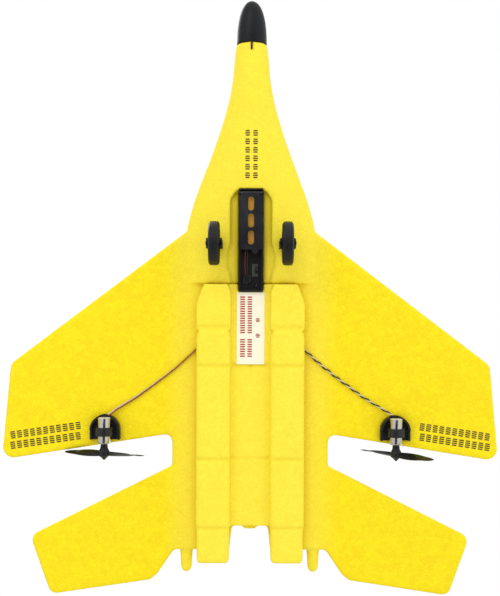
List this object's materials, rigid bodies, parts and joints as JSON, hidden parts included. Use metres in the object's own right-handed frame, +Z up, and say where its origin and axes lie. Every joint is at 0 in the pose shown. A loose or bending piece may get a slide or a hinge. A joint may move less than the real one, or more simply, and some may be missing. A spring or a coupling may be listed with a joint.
{
  "type": "radio-controlled foam jet",
  "caption": "Foam park flyer shaped like a swept-wing jet, with pusher propellers, a belly battery box with a hinged cover, and fork-mounted wheels.",
  "frame": {"origin": "on the ground under the middle of the aircraft's plan outline, in its level attitude on its wheels", "axes": "+Z up, nose towards -Y, +X out along the pilot's left wing"},
  "size_m": [0.35, 0.42, 0.106],
  "materials": {
    "airframe_foam": "closed-bead foam, bright yellow",
    "antenna_wire": "soft insulation",
    "battery": "orange film wrap",
    "battery_box": "black moulded plastic",
    "battery_cover": "black moulded plastic",
    "battery_lead_black": "soft insulation",
    "battery_lead_red": "soft insulation",
    "battery_plug": "moulded",
    "belly_label": "printed label",
    "belly_pod": "closed-bead foam, bright yellow",
    "board_components": "moulded chips",
    "board_socket": "moulded",
    "box_deck": "black moulded plastic",
    "cover_hinge_pin": "drawn wire",
    "fin": "closed-bead foam, bright yellow",
    "gear_strut": "black moulded plastic",
    "motor_brushes": "spring strip",
    "motor_bushes": "sintered bronze",
    "motor_can": "drawn can",
    "motor_end_cap": "moulded",
    "motor_magnet": "plated magnet",
    "motor_mount": "black moulded plastic",
    "motor_rotor": "copper winding",
    "motor_shaft": "ground",
    "motor_wire_black": "soft insulation",
    "motor_wire_red": "soft insulation",
    "motor_wire_white": "soft insulation",
    "nose_cap": "black moulded plastic",
    "propeller": "black moulded plastic",
    "receiver_board": "green solder mask",
    "status_led": "clear dark blue",
    "switch_body": "pressed sheet",
    "switch_knob": "moulded",
    "wheel_axle": "drawn wire",
    "wheel_hub": "black moulded plastic",
    "wheel_tyre": "black foam rubber"
  },
  "bodies": {
    "airframe": {"airframe_foam": "airframe_foam", "antenna_wire": "antenna_wire", "battery": "battery", "battery_box": "battery_box", "battery_lead_black": "battery_lead_black", "battery_lead_red": "battery_lead_red", "battery_plug": "battery_plug", "belly_label": "belly_label", "belly_pod": "belly_pod", "board_components": "board_components", "board_socket": "board_socket", "box_deck": "box_deck", "cover_hinge_pin": "cover_hinge_pin", "fin_left": "fin", "fin_right": "fin", "gear_strut_left": "gear_strut", "gear_strut_right": "gear_strut", "motor_brushes_left": "motor_brushes", "motor_brushes_right": "motor_brushes", "motor_bushes_left": "motor_bushes", "motor_bushes_right": "motor_bushes", "motor_can_left": "motor_can", "motor_can_right": "motor_can", "motor_end_cap_left": "motor_end_cap", "motor_end_cap_right": "motor_end_cap", "motor_magnet_left": "motor_magnet", "motor_magnet_right": "motor_magnet", "motor_mount_left": "motor_mount", "motor_mount_right": "motor_mount", "motor_wire_left_black": "motor_wire_black", "motor_wire_left_white": "motor_wire_white", "motor_wire_right_red": "motor_wire_red", "motor_wire_right_white": "motor_wire_white", "nose_cap": "nose_cap", "receiver_board": "receiver_board", "status_led": "status_led", "switch_body": "switch_body", "wheel_axle_left": "wheel_axle", "wheel_axle_right": "wheel_axle"},
    "propeller_unit_left": {"propeller_left": "propeller", "motor_shaft_left": "motor_shaft", "motor_rotor_left": "motor_rotor"},
    "propeller_unit_right": {"propeller_right": "propeller", "motor_shaft_right": "motor_shaft", "motor_rotor_right": "motor_rotor"},
    "wheel_left": {"wheel_tyre_left": "wheel_tyre", "wheel_hub_left": "wheel_hub"},
    "wheel_right": {"wheel_tyre_right": "wheel_tyre", "wheel_hub_right": "wheel_hub"},
    "cover": {"battery_cover": "battery_cover"},
    "switch_slider": {"switch_knob": "switch_knob"}
  },
  "joints": [
    {"name": "propeller_spin_left", "type": "hinge", "parent": "airframe", "child": "propeller_unit_left", "pos_m": [0.102, 0.1095, 0.037], "axis": [0, 1, 0], "continuous": true},
    {"name": "propeller_spin_right", "type": "hinge", "parent": "airframe", "child": "propeller_unit_right", "pos_m": [-0.102, 0.1095, 0.037], "axis": [0, 1, 0], "continuous": true},
    {"name": "wheel_roll_left", "type": "hinge", "parent": "airframe", "child": "wheel_left", "pos_m": [0.0249, -0.0365, 0.015], "axis": [1, 0, 0], "continuous": true},
    {"name": "wheel_roll_right", "type": "hinge", "parent": "airframe", "child": "wheel_right", "pos_m": [-0.0249, -0.0365, 0.015], "axis": [1, 0, 0], "continuous": true},
    {"name": "cover_hinge", "type": "hinge", "parent": "airframe", "child": "cover", "pos_m": [0, -0.0726, 0.0325], "axis": [-1, 0, 0], "range_deg": [0, 95]},
    {"name": "power_switch", "type": "slide", "parent": "airframe", "child": "switch_slider", "axis": [0, 1, 0], "range_m": [0, 0.002]}
  ]
}
